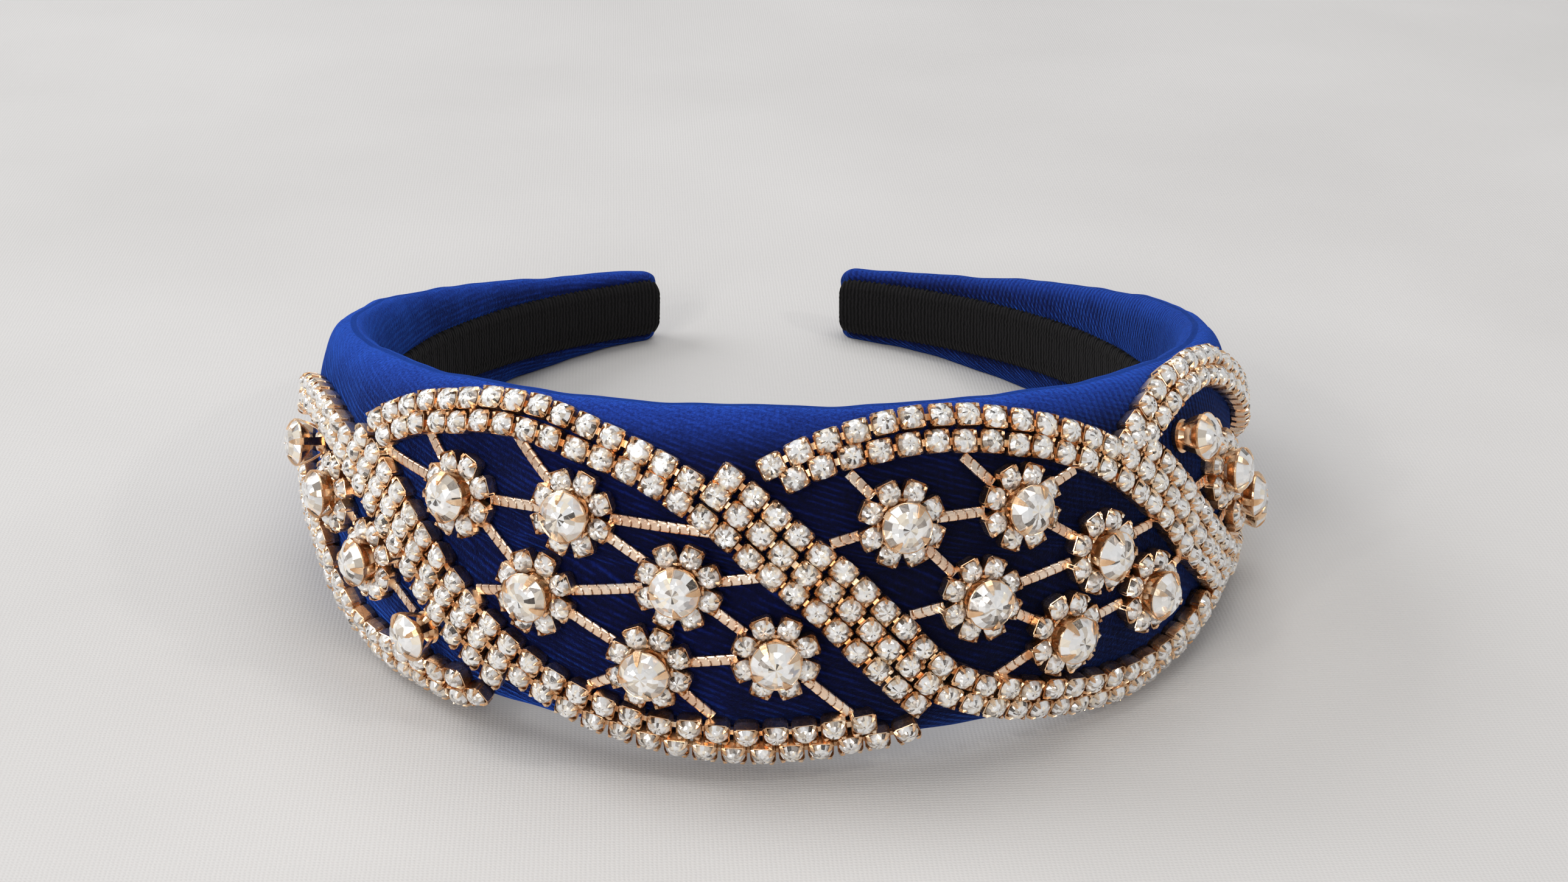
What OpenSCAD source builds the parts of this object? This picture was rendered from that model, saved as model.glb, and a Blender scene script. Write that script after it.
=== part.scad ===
// Padded velvet headband lying on its lower edge, with a rhinestone trim round its front.
// X runs to the right, Y from the front towards the open back, Z up from the surface that it rests on.
// The band is set out along its inner face: u is the distance along that face from the middle of the front,
// v the height across the band, and h the height above the cloth. The trim is set out along the cloth.

/* [Band] */
// Radius of the inner face across the front
front_r = 59.4; // [52:0.2:70]
// Turn of the front on each side of its middle, in degrees
front_turn = 57.5; // [50:0.5:62]
// Radius of the inner face along the sides
side_r = 80.6; // [70:0.2:95]
// Turn along each side, in degrees
side_turn = 46.5; // [40:0.5:52]
// Radius of the inner face towards the ends
end_r = 80; // [70:0.2:95]
// Turn towards each end, in degrees
end_turn = 51; // [44:0.5:54]
// Width of the band at the middle of the front
front_w = 45.6; // [40:0.2:50]
// Width of the band at its ends
end_w = 13.6; // [11:0.2:18]
// Thickness of the padding at the middle of the front
front_t = 11; // [8:0.2:13]
// Thickness of the band at its ends
end_t = 6; // [4:0.2:8]

/* [Ribbon] */
// Width of the black ribbon on the inner face
ribbon_w = 10.4; // [8:0.2:12]
// Thickness of the ribbon
ribbon_t = 1.2; // [0.8:0.1:1.6]

/* [Trim] */
// Distance between stones along a chain
stone_pitch = 3.8; // [3.7:0.05:4]
// Length of one cup along its chain
cup_l = 3.3; // [2.8:0.05:3.35]
// Width of one cup across its chain
cup_w = 3; // [2.8:0.05:3]
// Height of the cups' rims above the cloth
rim_h = 2.4; // [2:0.1:2.8]
// Height of the small stones' tables above the cloth
table_h = 3.2; // [3:0.1:3.6]
// Distance between two waves of the trim, along the cloth
wave_pitch = 59.6; // [59:0.1:61]
// Height of a wave's crest
crest_v = 22; // [21:0.1:22.5]
// Radius of the waves' arcs
wave_r = 57; // [55:0.5:59]
// Slope of the straight runs between two waves, in degrees
run_slope = 44; // [42:0.5:46]

/* [Flowers] */
// Diameter of a flower's middle stone
chaton_d = 6.6; // [6:0.1:7]
// Height of the middle stone's widest line above the cloth
girdle_h = 4.7; // [4.2:0.1:5.2]
// Height of the middle stone's table above the cloth
chaton_h = 6.1; // [5.6:0.1:6.6]
// Distance of the small stones' middles from the flower's middle
petal_r = 4.28; // [4.2:0.01:4.4]
// Width of a flower's small cups
petal_w = 2.85; // [2.7:0.05:2.9]

/* [Hidden] */
RAD = PI / 180;

// Rest pose: the band leans back, and slightly to one side, until its lowest chains and its ends touch
rest_tilt = 8;
rest_roll = -0.37;
rest_lift = 26.59;
// Middle of the object's box in the rest pose, measured from the middle of the front on the inner face
box_mid = [0.26, 64.04];

// The band's own shape
ROUNDNESS = 2.6;      // exponent of the section's outline, 2 for an ellipse
INNER_SHARE = 0.42;   // share of the thickness that lies inside the widest line
FLARE = -2.4;         // lean of the section, in degrees: the lower edge stands out further
WIDTH_RUN = 2.33;     // how far the full width runs round from the front
WIDTH_FALL = 1.72;    // how quickly it falls after that
front_len = front_r * front_turn * RAD;
side_len = side_r * side_turn * RAD;
end_len = end_r * end_turn * RAD;
half_len = front_len + side_len + end_len;
BAND_STEPS = 26;      // sections on each side of the middle
BAND_SIDES = 16;      // corners of one section
GAP = 0.15;           // clearance under the metal and the ribbon
BAR_W = 1.5;          // width of a snake chain bar
BAR_H = 1.1;

// Heading of the inner face at u, in degrees
function heading(u) = let (a = abs(u)) sign(u) * (
    a < front_len ? a / front_r / RAD
    : a < front_len + side_len ? front_turn + (a - front_len) / side_r / RAD
    : front_turn + side_turn + (a - front_len - side_len) / end_r / RAD);

// A function of the heading t summed over the three arcs, as the coordinates of an arc are
function over_arcs(t, f1, f2, f3) =
    t < front_turn ? front_r * (f1 - f2[0])
    : t < front_turn + side_turn ? front_r * (f2[1] - f2[0]) + side_r * (f1 - f2[1])
    : front_r * (f2[1] - f2[0]) + side_r * (f2[2] - f2[1]) + end_r * (f1 - f2[2]);

TURNS = [0, front_turn, front_turn + side_turn];
// Point of the inner face at u
function inner_point(u) = let (t = abs(heading(u)))
    [sign(u) * over_arcs(t, sin(t), [for (a = TURNS) sin(a)]),
     over_arcs(t, -cos(t), [for (a = TURNS) -cos(a)])];
function outward(u) = [sin(heading(u)), -cos(heading(u))];

// Share of the front's extra width and thickness that is left at u
function fullness(u) = pow(1 - pow(min(abs(u) / half_len, 1), WIDTH_RUN), WIDTH_FALL);
function half_w(u) = (end_w + (front_w - end_w) * fullness(u)) / 2;
function thick(u) = end_t + (front_t - end_t) * fullness(u);

// Height of the outline over its widest line, as a share, at the share q of the half width
function crown(q) = pow(1 - pow(q, ROUNDNESS), 1 / ROUNDNESS);
function crown_slope(q) = -pow(1 - pow(q, ROUNDNESS), 1 / ROUNDNESS - 1) * pow(q, ROUNDNESS - 1);

// From the band's own frame to the resting object
function turn_only(p) = let (
    y = p[1] * cos(rest_tilt) + p[2] * sin(rest_tilt),
    z = p[2] * cos(rest_tilt) - p[1] * sin(rest_tilt))
    [p[0] * cos(rest_roll) - z * sin(rest_roll), y, z * cos(rest_roll) + p[0] * sin(rest_roll)];
function settle(p) = turn_only(p) + [-box_mid[0], -box_mid[1], rest_lift];
function ring_point(u, v, n) = let (c = inner_point(u), o = outward(u), m = n + v * sin(FLARE))
    [c[0] + o[0] * m, c[1] + o[1] * m, v * cos(FLARE)];
function band_point(u, v, n) = settle(ring_point(u, v, n));

// Frame on the cloth at u, v: its point and the unit vectors along the band, up it and out of it
EDGE = 0.92;          // share of the half width past which the cloth is taken as flat
function cloth_frame(u, v) = let (
    w = half_w(u), t = thick(u), q = min(abs(v) / w, EDGE), o = outward(u),
    n = t * (INNER_SHARE + (1 - INNER_SHARE) * crown(q)),
    lean = atan(sign(v) * t * (1 - INNER_SHARE) * crown_slope(q) / w) + FLARE,
    up = [o[0] * sin(lean), o[1] * sin(lean), cos(lean)],
    along = [-o[1], o[0], 0],
    out = cross(along, up))
    [settle(ring_point(u, v, n)), turn_only(along), turn_only(up), turn_only(out)];

// A wall lofted through rings of points, closed at both ends
module loft(rings) {
    n = len(rings[0]);
    last = len(rings) - 1;
    polyhedron(
        points = [for (r = rings) each r],
        faces = concat(
            [[for (j = [n - 1:-1:0]) j]],
            [for (i = [0:last - 1], j = [0:n - 1]) let (k = (j + 1) % n)
                each [[i * n + j, i * n + k, (i + 1) * n + k],
                      [i * n + j, (i + 1) * n + k, (i + 1) * n + j]]],
            [[for (j = [0:n - 1]) last * n + j]]));
}

// Outline of the band's section at u, from the top edge over the outer face to the inner one
function power(x, e) = sign(x) * pow(abs(x), e);
// The two ends are rounded off over the last few millimetres, down to a share of their height
END_ROUND = 3;
END_LEFT = 0.5;
NEAR_END = 0.3;
function end_shrink(u) = let (d = max(0, END_ROUND - (half_len - abs(u))) / END_ROUND)
    sqrt(1 - (1 - END_LEFT * END_LEFT) * d * d);
function section(u) = let (w = half_w(u) * end_shrink(u), t = thick(u), k = end_shrink(u))
    [for (j = [0:BAND_SIDES - 1]) let (
        a = (j + 0.5) * 360 / BAND_SIDES,
        c = power(cos(a), 2 / ROUNDNESS),
        s = power(sin(a), 2 / ROUNDNESS),
        n = t * (INNER_SHARE + (s > 0 ? (1 - INNER_SHARE) * s : INNER_SHARE * s) * k),
        p = band_point(u, w * c, n))
        [p[0], p[1], max(p[2], 0)]];

// Stations along the band: even steps, with three close ones at each end for the rounding
function stations() = let (inside = half_len - END_ROUND)
    concat([-half_len, -half_len + END_ROUND * NEAR_END],
           [for (i = [-BAND_STEPS:BAND_STEPS]) i * inside / BAND_STEPS],
           [half_len - END_ROUND * NEAR_END, half_len]);

module velvet_band() {
    color("royalblue") loft([for (u = stations()) section(u)]);
}

// Inner face of the padding at the share q of the half width, as a height over the inner curve
function inner_height(u, q) = thick(u) * INNER_SHARE * (1 - crown(q));
RIBBON_STEPS = 36;
RIBBON_GAP = 0.25;
// Corners of the ribbon's section, as shares of its half width and its thickness
RIBBON_SECTION = concat([for (c = [2:-1:-2]) [c / 2, 0]], [for (c = [-2:2]) [c / 2, 1]]);
module lining_ribbon() {
    end = half_len - END_ROUND;
    color("black") loft([for (i = [-RIBBON_STEPS:RIBBON_STEPS]) let (u = i * end / RIBBON_STEPS)
        [for (c = RIBBON_SECTION) let (
            v = c[0] * ribbon_w / 2,
            n = inner_height(u, abs(v) / half_w(u)) - RIBBON_GAP - c[1] * ribbon_t)
            band_point(u, v, n)]]);
}

// Heading and inner distance under the distance d along the cloth
CLOTH_T = 10.5;
function cloth_heading(d) = let (
    a = abs(d), l1 = (front_r + CLOTH_T) * front_turn * RAD, l2 = (side_r + CLOTH_T) * side_turn * RAD)
    a < l1 ? a / (front_r + CLOTH_T) / RAD : front_turn + (a - l1) / (side_r + CLOTH_T) / RAD;
function under(d) = let (t = cloth_heading(d))
    sign(d) * (t < front_turn ? front_r * t * RAD : front_len + side_r * (t - front_turn) * RAD);

// The trim narrows with the band and sits lower on the left
TRIM_MID = 2.6;
SAG_SLOPE = 0.014;
SAG_CURVE = 0.00025;
function trim_v(d, v) = v * half_w(under(d)) / (front_w / 2) + SAG_SLOPE * d - SAG_CURVE * d * d;
function trim_frame(p) = cloth_frame(under(p[0] + TRIM_MID), trim_v(p[0] + TRIM_MID, p[1]));

// A chain's path is a list of [length, turn in degrees], walked from a start point and heading
function walk(path, p, a, i, s) = let (
    seg = path[i], l = min(s, seg[0]), t = seg[1] * l / seg[0], k = seg[1] * RAD / seg[0],
    q = abs(seg[1]) < 0.001 ? p + l * [cos(a), sin(a)]
        : p + [sin(a + t) - sin(a), cos(a) - cos(a + t)] / k)
    s <= seg[0] || i == len(path) - 1 ? [q, a + t, k] : walk(path, q, a + t, i + 1, s - seg[0]);

// One soldered row of cups across a chain, with square cups and stones cut with a table and 8 facets.
// It takes the places lo to hi across a chain that bends by k, and lies flat on the cloth under its middle.
TABLE = 0.33;         // a table's corner from its middle, as a share of the cup
function row_points(lo, hi, k) = let (n = hi - lo + 1, mid = (lo + hi) / 2)
    concat(
        [for (z = [GAP, rim_h], j = [0:n], e = [-1, 1]) let (y = (lo + j - 0.5 - mid) * cup_w)
            [e * cup_l / 2 * (1 - k * y), y, z]],
        [for (j = [0:n - 1], c = [[1, 0], [0, 1], [-1, 0], [0, -1]]) let (y = (lo + j - mid) * cup_w)
            [c[0] * cup_l * TABLE * (1 - k * y), y + c[1] * cup_w * TABLE, table_h]]);
function row_faces(n, b) = let (r = 2 * (n + 1))
    [for (f = concat(
        // underside, sides and ends
        [for (j = [0:n - 1]) each [[2 * j, 2 * j + 1, 2 * j + 3], [2 * j, 2 * j + 3, 2 * j + 2]]],
        [for (j = [0:n - 1]) each [[2 * j, 2 * j + 2, r + 2 * j + 2], [2 * j, r + 2 * j + 2, r + 2 * j]]],
        [for (j = [0:n - 1]) let (i = 2 * j + 1) each [[i + 2, i, r + i], [i + 2, r + i, r + i + 2]]],
        [[1, 0, r], [1, r, r + 1]],
        [[r - 2, r - 1, 2 * r - 1], [r - 2, 2 * r - 1, 2 * r - 2]])) [for (i = f) b + i]];
function stone_faces(n, b) = let (r = b + 2 * (n + 1), q = b + 4 * (n + 1))
    [for (j = [0:n - 1]) let (
        a00 = r + 2 * j, a10 = a00 + 1, a01 = a00 + 2, a11 = a00 + 3,
        east = q + 4 * j, north = east + 1, west = east + 2, south = east + 3)
        each [[a11, a10, east], [north, a11, east], [a01, a11, north], [west, a01, north],
              [a00, a01, west], [south, a00, west], [a10, a00, south], [east, a10, south],
              [west, north, east], [south, west, east]]];
function row_size(n) = 4 * (n + 1) + 4 * n;

// A chain is one polyhedron of such rows. Each is [point, direction, bend, lowest place, highest place].
function shift(p, a, y) = p + y * [-sin(a), cos(a)];
function chain_points(rows) = [for (r = rows) let (
    f = trim_frame(shift(r[0], r[1], (r[3] + r[4]) / 2 * cup_w)),
    e = cos(r[1]) * f[1] + sin(r[1]) * f[2], m = cos(r[1]) * f[2] - sin(r[1]) * f[1])
    each [for (p = row_points(r[3], r[4], r[2])) f[0] + p[0] * e + p[1] * m + p[2] * f[3]]];
function starts(rows, i = 0, b = 0) =
    i == len(rows) ? [] : concat([b], starts(rows, i + 1, b + row_size(rows[i][4] - rows[i][3] + 1)));
module chain(rows) {
    b = starts(rows);
    color("rosybrown") polyhedron(
        points = chain_points(rows),
        faces = [for (i = [0:len(rows) - 1]) let (n = rows[i][4] - rows[i][3] + 1)
            each concat(row_faces(n, b[i]), stone_faces(n, b[i]))]);
}

// One wave of the trim: an arch over a cell, a straight run down between two cells, a trough under the next.
// Turned half round about the middle of its run, it is the same. An end cell's crest is lower and tighter.
arc_len = wave_r * run_slope * RAD;
run_half = (crest_v - wave_r * (1 - cos(run_slope))) / sin(run_slope);
OPEN_PATH = [[run_half, 0], [arc_len, run_slope], [arc_len, run_slope]];
END_PATH = [[2, 0], [46, 44], [22, 46]];
function wave(s, path) = let (q = walk(path, [0, 0], -run_slope, 0, abs(s)))
    s < 0 ? [-q[0], q[1], -q[2]] : q;
ROW_ENDS = [[-20, -20, 0, 0], [-19, -6, -1, 0], [-5, 5, -1, 1], [6, 18, 0, 1], [19, 20, 0, 0]];
CLOSED_ENDS = [[-17, -17, 0, 0], [-16, -6, -1, 0], [-5, 5, -1, 1], [6, 18, 0, 1], [19, 20, 0, 0]];
// How far each strand, sewn by hand, strays from its shape: pairs of place along it and distance across it
STRAY_LEFT = [[48, 0], [57, -0.5], [65, -1.2], [70, -2], [76, -3.3]];
STRAY_MIDDLE = [[-70, 1.1], [-62, 0.5], [-50, 0.3], [-38, -0.3], [-20, -0.1], [-10, -0.5], [2, 0], [12, -0.6],
    [21, -1.9], [28, -1.3], [37, -0.2], [46, 0.3], [60, 0]];
STRAY_RIGHT = [[22, 0], [30, 0.3], [42, 0.9], [62, 1], [69, 0.9], [76, 1]];
function wave_rows(at, ends, first, last, stray) = [for (g = ends, i = [g[0]:g[1]])
    let (s = i * stone_pitch, q = wave(s, i < 0 ? first : last))
    [shift(q[0] + [at, 0], q[1], lookup(s, stray)), q[1], q[2], g[2], g[3]]];

// The strand that closes the left end from below, and the one that closes the right end from above,
// which is laid as if it were at the left and then turned half round
END_ROWS = 19;
LOW_START = [-119.5, 3.5];
LOW_SLOPE = 21;
LOW_PATH = [[24, 0], [7, -21], [5, 0], [28, 42], [12, 10]];
HIGH_START = [-119.5, -0.5];
HIGH_SLOPE = 27.6;
HIGH_PATH = [[31.8, 0], [10.8, 5.6], [35.4, 53.1]];
STRAY_LOW = [[44, 0], [50, 0.6], [57, 1.9], [62, 2.2], [66, 1.9], [70, 1.3], [73, 1.2], [76, 1.6]];
function low_rows() = [for (i = [0:END_ROWS])
    let (s = i * stone_pitch, q = walk(LOW_PATH, LOW_START, -LOW_SLOPE, 0, s))
    [shift(q[0], q[1], lookup(s, STRAY_LOW)), q[1], q[2], 0, 1]];
function high_rows() = [for (i = [0:END_ROWS])
    let (q = walk(HIGH_PATH, HIGH_START, -HIGH_SLOPE, 0, i * stone_pitch)) [q[0], q[1], q[2], 0, 1]];

// The right end of the trim is its left end turned half round about the middle
function turned(rows) = [for (r = rows) [-r[0], r[1], -r[2], -r[4], -r[3]]];

module chain_left_end() chain(low_rows());
module chain_right_end() chain(turned(high_rows()));
module chain_left() chain(wave_rows(-wave_pitch, CLOSED_ENDS, END_PATH, OPEN_PATH, STRAY_LEFT));
module chain_middle() chain(wave_rows(0, ROW_ENDS, OPEN_PATH, OPEN_PATH, STRAY_MIDDLE));
module chain_right() chain(turned(wave_rows(-wave_pitch, CLOSED_ENDS, END_PATH, OPEN_PATH, STRAY_RIGHT)));

// Flowers, each where it is sewn: four in the left end cell, six in each middle cell and four in the right
// end cell. Those in LONE are one large stone without small ones round it.
FLOWERS = [
    [-95.4, 9.4], [-84.4, 3.4], [-71.4, -4], [-59.6, -11.8],
    [-51.9, 9.8], [-33.8, 9.5], [-39.1, -2], [-19.3, 0.7], [-23.2, -10.6], [-6.9, -8.7],
    [9, 8.7], [25.8, 9.2], [20, -2.6], [39.3, 0.7], [33.2, -9.9], [49.4, -7.6],
    [60.2, 13], [72.8, 5], [84.4, -2.6], [95.4, -8.6]];
LONE = [1, 4, 17, 20];
function is_lone(k) = len([for (n = LONE) if (n == k) n]) > 0;
PETALS = 8;
PLATE_H = 0.8;
CUT = 8;
module small_stone() {
    k = petal_w / cup_w;
    polyhedron(
        points = [for (p = row_points(0, 0, 0)) [p[0] * k, p[1] * k, p[2]]],
        faces = concat(row_faces(1, 0), stone_faces(1, 0)));
}
// The middle stone: a crown of 16 facets round a table, and the upper part of its pavilion
CHATON_TABLE = 0.58;  // table as a share of the stone's width
CHATON_FOOT = 0.8;
FOOT_DROP = 1.2;
module chaton() {
    r = chaton_d / 2;
    ring = function(rad, z, off) [for (i = [0:CUT - 1]) let (a = (i + off) * 360 / CUT)
        [rad * cos(a), rad * sin(a), z]];
    polyhedron(
        points = concat(
            ring(r * CHATON_FOOT, girdle_h - FOOT_DROP, 0), ring(r, girdle_h, 0),
            ring(r * CHATON_TABLE, chaton_h, 0.5)),
        faces = concat(
            [[for (i = [0:CUT - 1]) i]],
            [for (i = [0:CUT - 1]) let (j = (i + 1) % CUT) each [
                [j, i, CUT + i], [j, CUT + i, CUT + j],
                [CUT + j, CUT + i, 2 * CUT + i], [CUT + j, 2 * CUT + i, 2 * CUT + j]]],
            [[for (i = [CUT - 1:-1:0]) 2 * CUT + i]]));
}
LONE_PLATE_R = 2.6;   // plate under a stone that has no small ones round it
CLAW_FOOT_R = 2;
CLAW_INSET = 0.3;
module flower(k) {
    f = trim_frame(FLOWERS[k - 1]);
    multmatrix([for (i = [0:2]) [f[1][i], f[2][i], f[3][i], f[0][i]]]) {
        color("rosybrown") translate([0, 0, GAP])
            cylinder(h = PLATE_H, r = is_lone(k) ? LONE_PLATE_R : petal_r, $fn = 32);
        color("rosybrown") translate([0, 0, PLATE_H / 2])
            cylinder(h = girdle_h - PLATE_H, r1 = CLAW_FOOT_R, r2 = chaton_d / 2 - CLAW_INSET, $fn = 32);
        color("white") chaton();
        if (!is_lone(k)) for (i = [0:PETALS - 1]) rotate((i + 0.5) * 360 / PETALS) translate([petal_r, 0, 0])
            color("white") small_stone();
    }
}

// Snake chain bars: those from one flower to the next, as pairs of flowers, and those from a flower to the
// chains, as [flower, direction, length]. They end short of a flower's outer edge.
PAIRS = [[1, 2], [2, 3], [3, 4],
    [5, 6], [5, 7], [6, 8], [7, 8], [7, 9], [8, 10], [9, 10],
    [11, 12], [11, 13], [12, 14], [13, 14], [13, 15], [14, 16], [15, 16],
    [17, 18], [18, 19], [19, 20]];
RAYS = [
    [2, 15, 2.2], [3, 5, 1.3],
    [5, 135, 2.4], [5, 168, 10.1], [6, 137, 4.1], [6, -5, 9.5], [7, 189, 3.1], [8, 7, 2.6],
    [9, 205, 1.8], [9, -42, 3.4], [10, -42, 5.3],
    [11, 135, 2.1], [11, 195, 2.4], [12, 137, 3.2], [12, 20, 2.3], [13, 189, 2.8], [14, 7, 4.1],
    [15, 205, 2.4], [16, 14, 1.9],
    [18, 185, 1.6], [19, 195, 2.8]];
BAR_CLEAR = 0.62;     // from a flower's outer edge to a bar
FLOWER_R = petal_r + cup_l * petal_w / cup_w / 2;
function bar_r(k) = (is_lone(k) ? chaton_d / 2 : FLOWER_R) + BAR_CLEAR;
function pair_bar(k, n) = let (a = FLOWERS[k - 1], b = FLOWERS[n - 1], d = (b - a) / norm(b - a))
    [a + bar_r(k) * d, b - bar_r(n) * d];
function ray_bar(k, t, l) = let (a = FLOWERS[k - 1], d = [cos(t), sin(t)])
    [a + bar_r(k) * d, a + (bar_r(k) + l) * d];
all_bars = concat([for (p = PAIRS) pair_bar(p[0], p[1])], [for (r = RAYS) ray_bar(r[0], r[1], r[2])]);
module lattice_bars() {
    for (b = all_bars) {
        d = b[1] - b[0];
        f = trim_frame((b[0] + b[1]) / 2);
        color("rosybrown") multmatrix([for (i = [0:2]) [f[1][i], f[2][i], f[3][i], f[0][i]]])
            rotate(atan2(d[1], d[0]))
            translate([-norm(d) / 2, -BAR_W / 2, GAP])
            cube([norm(d), BAR_W, BAR_H]);
    }
}

velvet_band();
lining_ribbon();
chain_left_end();
chain_left();
chain_middle();
chain_right();
chain_right_end();
lattice_bars();
for (k = [1:20]) flower(k);
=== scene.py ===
import bpy
import numpy as np
from mathutils import Matrix


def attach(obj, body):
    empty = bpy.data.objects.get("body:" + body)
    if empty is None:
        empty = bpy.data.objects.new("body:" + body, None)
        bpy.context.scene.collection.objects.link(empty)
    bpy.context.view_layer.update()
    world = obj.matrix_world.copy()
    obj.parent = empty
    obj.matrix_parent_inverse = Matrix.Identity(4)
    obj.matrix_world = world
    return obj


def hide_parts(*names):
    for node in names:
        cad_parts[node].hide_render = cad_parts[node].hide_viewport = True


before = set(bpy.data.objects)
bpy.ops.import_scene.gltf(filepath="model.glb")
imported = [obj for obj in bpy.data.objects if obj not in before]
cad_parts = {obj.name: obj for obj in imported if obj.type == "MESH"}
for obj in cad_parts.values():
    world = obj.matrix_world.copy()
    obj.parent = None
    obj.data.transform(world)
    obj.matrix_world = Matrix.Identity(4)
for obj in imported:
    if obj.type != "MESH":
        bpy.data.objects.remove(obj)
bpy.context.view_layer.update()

# View: the headband lies on a pale woven cloth and is seen from the front, from about 25 degrees
# above it. The camera stands about 400 mm away and is turned a little to the right.
MM = 0.001
LENS = 57.42
CAMERA_AT = np.array([-23.38, -361.93, 183.19])
CAMERA_AXES = np.array([
    [0.99799, 0.01511, -0.06152],
    [-0.06216, 0.42121, -0.90483],
    [0.01224, 0.90684, 0.4213]])
camera = bpy.data.objects.new("camera", bpy.data.cameras.new("camera"))
bpy.context.scene.collection.objects.link(camera)
bpy.context.scene.camera = camera
camera.data.lens = LENS
camera.data.clip_start = 0.01
view = np.eye(4)
view[:3, :3] = CAMERA_AXES
view[:3, 3] = CAMERA_AT * MM
camera.matrix_world = Matrix(view.tolist())

# Velvet cover: one piece of ribbed velvet pulled over a padded, sprung hoop. It is wide and full
# at the front and narrow at its two rounded ends. Its inner face is three arcs on each side, and
# its section is a rounded oval.
ARC_RADII = np.array([59.4, 80.6, 80.0])
ARC_TURNS = np.radians([57.5, 46.5, 51.0])
ARC_LENGTHS = ARC_RADII * ARC_TURNS
HALF_LEN = ARC_LENGTHS.sum()
FRONT_W, END_W = 45.6, 13.6
FRONT_T, END_T = 11.0, 6.0
WIDTH_RUN, WIDTH_FALL = 2.33, 1.72
ROUNDNESS = 2.6
INNER_SHARE = 0.42
FLARE = np.radians(-2.4)
REST_TILT, REST_ROLL, REST_LIFT = np.radians(8), np.radians(-0.37), 26.59
BOX_MID = np.array([0.26, 64.04])


def turn_to_rest(p):
    """Directions of the band's own frame as it lies: turned back about X by the tilt, then about Y
    by the roll."""
    y = p[..., 1] * np.cos(REST_TILT) + p[..., 2] * np.sin(REST_TILT)
    z = p[..., 2] * np.cos(REST_TILT) - p[..., 1] * np.sin(REST_TILT)
    x = p[..., 0] * np.cos(REST_ROLL) - z * np.sin(REST_ROLL)
    return np.stack([x, y, z * np.cos(REST_ROLL) + p[..., 0] * np.sin(REST_ROLL)], -1)


def lay_down(p):
    """Points of the band's own frame as it lies: turned, then moved over the middle of its box."""
    return turn_to_rest(p) + np.array([-BOX_MID[0], -BOX_MID[1], REST_LIFT])


def heading(u):
    """Turn of the inner face at the distance u from the middle of the front: each arc adds its
    length over its radius."""
    a = np.abs(u)
    first, second = ARC_LENGTHS[0], ARC_LENGTHS[0] + ARC_LENGTHS[1]
    turn = np.minimum(a, first) / ARC_RADII[0]
    turn = turn + np.clip(a - first, 0, ARC_LENGTHS[1]) / ARC_RADII[1]
    return np.sign(u) * (turn + np.maximum(a - second, 0) / ARC_RADII[2])


def inner_point(u):
    """Point of the inner face at u: the sum over the arcs of the radius times the change of the
    sine and of the cosine."""
    t = np.abs(heading(u))
    knots = np.array([0, ARC_TURNS[0], ARC_TURNS[0] + ARC_TURNS[1], np.inf])
    x, y = 0, 0
    for r, low, high in zip(ARC_RADII, knots[:-1], knots[1:]):
        part = np.clip(t, low, high)
        x, y = x + r * (np.sin(part) - np.sin(low)), y + r * (np.cos(low) - np.cos(part))
    return np.stack([np.sign(u) * x, y], -1)


def fullness(u):
    """Share of the front's extra width and thickness left at u: one less a power of the share of
    the way to the end, to a power."""
    return (1 - np.minimum(np.abs(u) / HALF_LEN, 1) ** WIDTH_RUN) ** WIDTH_FALL


def half_width(u):
    """Half the band's width at u, from the ends' width and the front's."""
    return (END_W + (FRONT_W - END_W) * fullness(u)) / 2


def thickness(u):
    """The padding's thickness at u, from the ends' thickness and the front's."""
    return END_T + (FRONT_T - END_T) * fullness(u)


def band_point(u, v, n):
    """Point at u along the inner face, v up the band and n out of the inner face, as the band
    lies: the inner point moved along its normal by n and the flare's share of v."""
    middle, turn = inner_point(u), heading(u)
    out = n + v * np.sin(FLARE)
    x, y = middle[..., 0] + np.sin(turn) * out, middle[..., 1] - np.cos(turn) * out
    return lay_down(np.stack([x, y, v * np.cos(FLARE) + 0 * u], -1))


def power(x, e):
    """x to the power e, with the sign of x."""
    return np.sign(x) * np.abs(x) ** e


def ripple(x, y, waves):
    """A soft uneven surface: the sum of sines of x and y, each with its two wavelengths, its start
    and its height."""
    return sum(h * np.sin(2 * np.pi * (x / wx + y / wy) + start) for wx, wy, start, h in waves)


def soft_step(x, middle, width):
    """A smooth rise from nought to one about the middle: one over one plus an exponential."""
    return 1 / (1 + np.exp(-(x - middle) / width))


def surface_normals(p):
    """Unit normals of a grid of points closed round the second way: the cross product of its
    differences both ways."""
    along = np.gradient(p, axis=0)
    across = (np.roll(p, -1, 1) - np.roll(p, 1, 1)) / 2
    n = np.cross(along, across)
    return n / np.maximum(np.linalg.norm(n, axis=-1, keepdims=True), 1e-9)


def grid_faces(rows, columns):
    """Four-sided faces of a grid of rows by columns of points, closed round the second way."""
    i, j = np.meshgrid(np.arange(rows - 1), np.arange(columns), indexing="ij")
    here, there, k = i * columns, (i + 1) * columns, (j + 1) % columns
    return np.stack([here + j, there + j, there + k, here + k], -1).reshape(-1, 4)


def fan_capped(p):
    """Points and faces of a grid closed round the second way, with each end closed by a fan of
    three-sided faces about the mean of its last row."""
    rows, columns = p.shape[:2]
    j = np.arange(columns)
    k = (j + 1) % columns
    first_cap = np.stack([j, k, np.full(columns, rows * columns)], -1)
    last_cap = np.stack([k, j, np.full(columns, rows * columns + 1)], -1)
    last_cap[:, :2] += (rows - 1) * columns
    parts = (grid_faces(rows, columns), first_cap, last_cap)
    faces = [face for part in parts for face in part[:, ::-1].tolist()]
    return np.concatenate([p.reshape(-1, 3), [p[0].mean(0), p[-1].mean(0)]]), faces


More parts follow.
